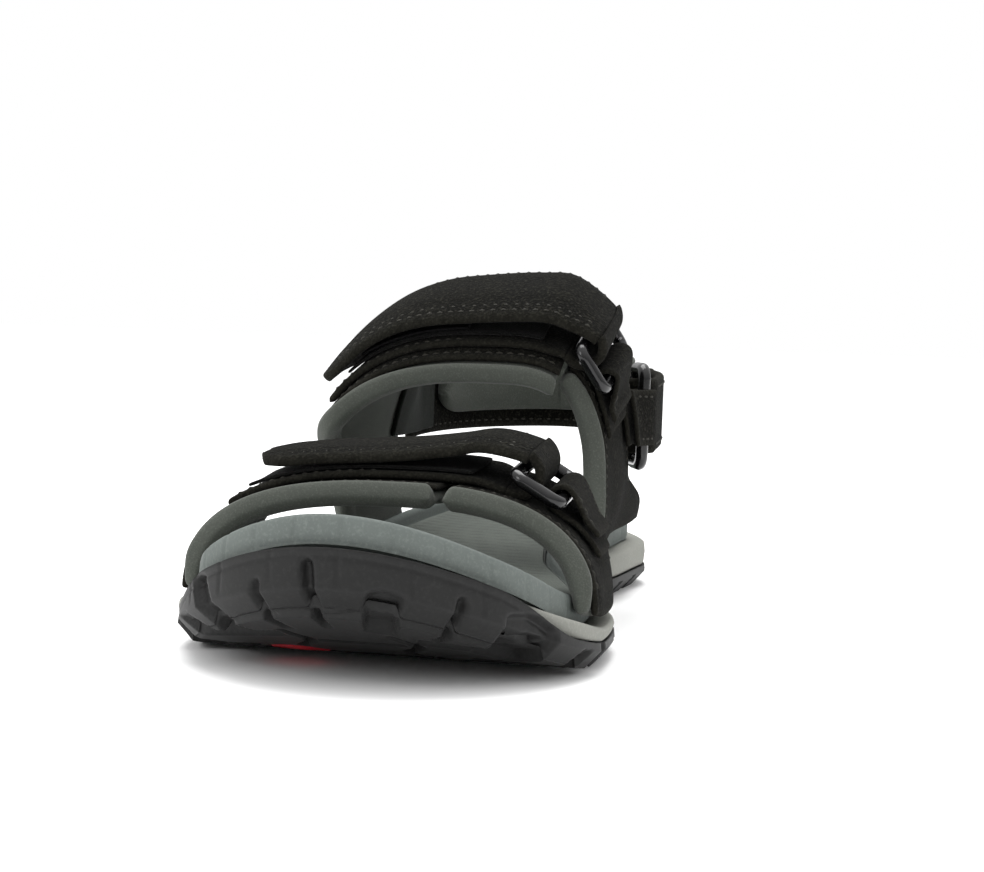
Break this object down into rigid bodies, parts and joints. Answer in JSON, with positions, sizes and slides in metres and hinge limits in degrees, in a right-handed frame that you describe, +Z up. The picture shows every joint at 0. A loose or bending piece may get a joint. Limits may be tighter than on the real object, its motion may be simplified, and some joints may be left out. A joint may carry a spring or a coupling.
{
  "type": "strappy sport sandal",
  "caption": "Open-toed walking sandal with a lugged sole, a lipped footbed and padded forefoot, instep and heel straps that fold back through rings.",
  "frame": {"origin": "on the ground, under the middle of the bounding box", "axes": "+Z up, the toe points along -Y and the heel along +Y, +X is the inner (medial) side of the foot"},
  "size_m": [0.1102, 0.288, 0.098],
  "materials": {
    "outsole_rubber": "charcoal moulded rubber, satin",
    "red_rubber": "red moulded rubber, satin",
    "midsole_foam": "pale grey moulded foam, matt",
    "shank_nylon": "black filled nylon",
    "lasting_board": "pressed fibre board",
    "footbed_foam": "grey moulded foam, matt, with faint upright mould lines",
    "footbed_cloth": "mid-grey brushed cloth with an embossed leaf pattern",
    "nubuck": "near-black warm nubuck with tone-on-tone stitching",
    "padded_lining": "green-grey padded knit lining",
    "elastic": "ribbed black elastic",
    "hook_tape": "black hook tape",
    "loop_tape": "black loop tape",
    "ring_plastic": "glossy black moulded plastic"
  },
  "bodies": {
    "root": {"outsole": "outsole_rubber", "red_outsole_insert": "red_rubber", "midsole": "midsole_foam", "arch_shank": "shank_nylon", "insole_board": "lasting_board", "footbed": "footbed_foam", "footbed_cover": "footbed_cloth", "lateral_forefoot_quarter": "nubuck", "lateral_forefoot_lining": "padded_lining", "medial_forefoot_quarter": "nubuck", "medial_forefoot_lining": "padded_lining", "lateral_instep_quarter": "nubuck", "lateral_instep_lining": "padded_lining", "medial_instep_quarter": "nubuck", "medial_instep_lining": "padded_lining", "forefoot_strap": "nubuck", "forefoot_loop_patch": "loop_tape", "forefoot_ring_tab": "nubuck", "instep_strap": "nubuck", "instep_loop_patch": "loop_tape", "instep_ring_tab": "nubuck", "heel_strap": "nubuck", "heel_strap_lining": "padded_lining", "elastic_gore": "elastic", "heel_loop_patch": "loop_tape", "heel_ring_tab": "nubuck"},
    "forefoot_ring_body": {"forefoot_ring": "ring_plastic"},
    "forefoot_flap_body": {"forefoot_flap": "nubuck", "forefoot_hook_patch": "hook_tape"},
    "instep_ring_body": {"instep_ring": "ring_plastic"},
    "instep_flap_body": {"instep_flap": "nubuck", "instep_hook_patch": "hook_tape"},
    "heel_ring_body": {"heel_ring": "ring_plastic"},
    "heel_flap_body": {"heel_flap": "nubuck", "heel_hook_patch": "hook_tape"}
  },
  "joints": [
    {"name": "forefoot_ring_swivel", "type": "hinge", "parent": "root", "child": "forefoot_ring_body", "pos_m": [0.04168, -0.06435, 0.04147], "axis": [-0.041, 0.9944, 0.0975], "range_deg": [0, 25]},
    {"name": "forefoot_flap_peel", "type": "hinge", "parent": "forefoot_ring_body", "child": "forefoot_flap_body", "pos_m": [0.03099, -0.06542, 0.04787], "axis": [-0.041, 0.9944, 0.0975], "range_deg": [0, 65]},
    {"name": "instep_ring_swivel", "type": "hinge", "parent": "root", "child": "instep_ring_body", "pos_m": [0.03925, 0.00811, 0.07124], "axis": [-0.0277, 0.9541, 0.2983], "range_deg": [0, 25]},
    {"name": "instep_flap_peel", "type": "hinge", "parent": "instep_ring_body", "child": "instep_flap_body", "pos_m": [0.03306, 0.0047, 0.08155], "axis": [-0.0277, 0.9541, 0.2983], "range_deg": [0, 80]},
    {"name": "heel_ring_swivel", "type": "hinge", "parent": "root", "child": "heel_ring_body", "pos_m": [0.04322, 0.03699, 0.057], "axis": [0, 0, -1], "range_deg": [0, 25]},
    {"name": "heel_flap_peel", "type": "hinge", "parent": "heel_ring_body", "child": "heel_flap_body", "pos_m": [0.03858, 0.04859, 0.057], "axis": [0, 0, -1], "range_deg": [0, 90]}
  ]
}
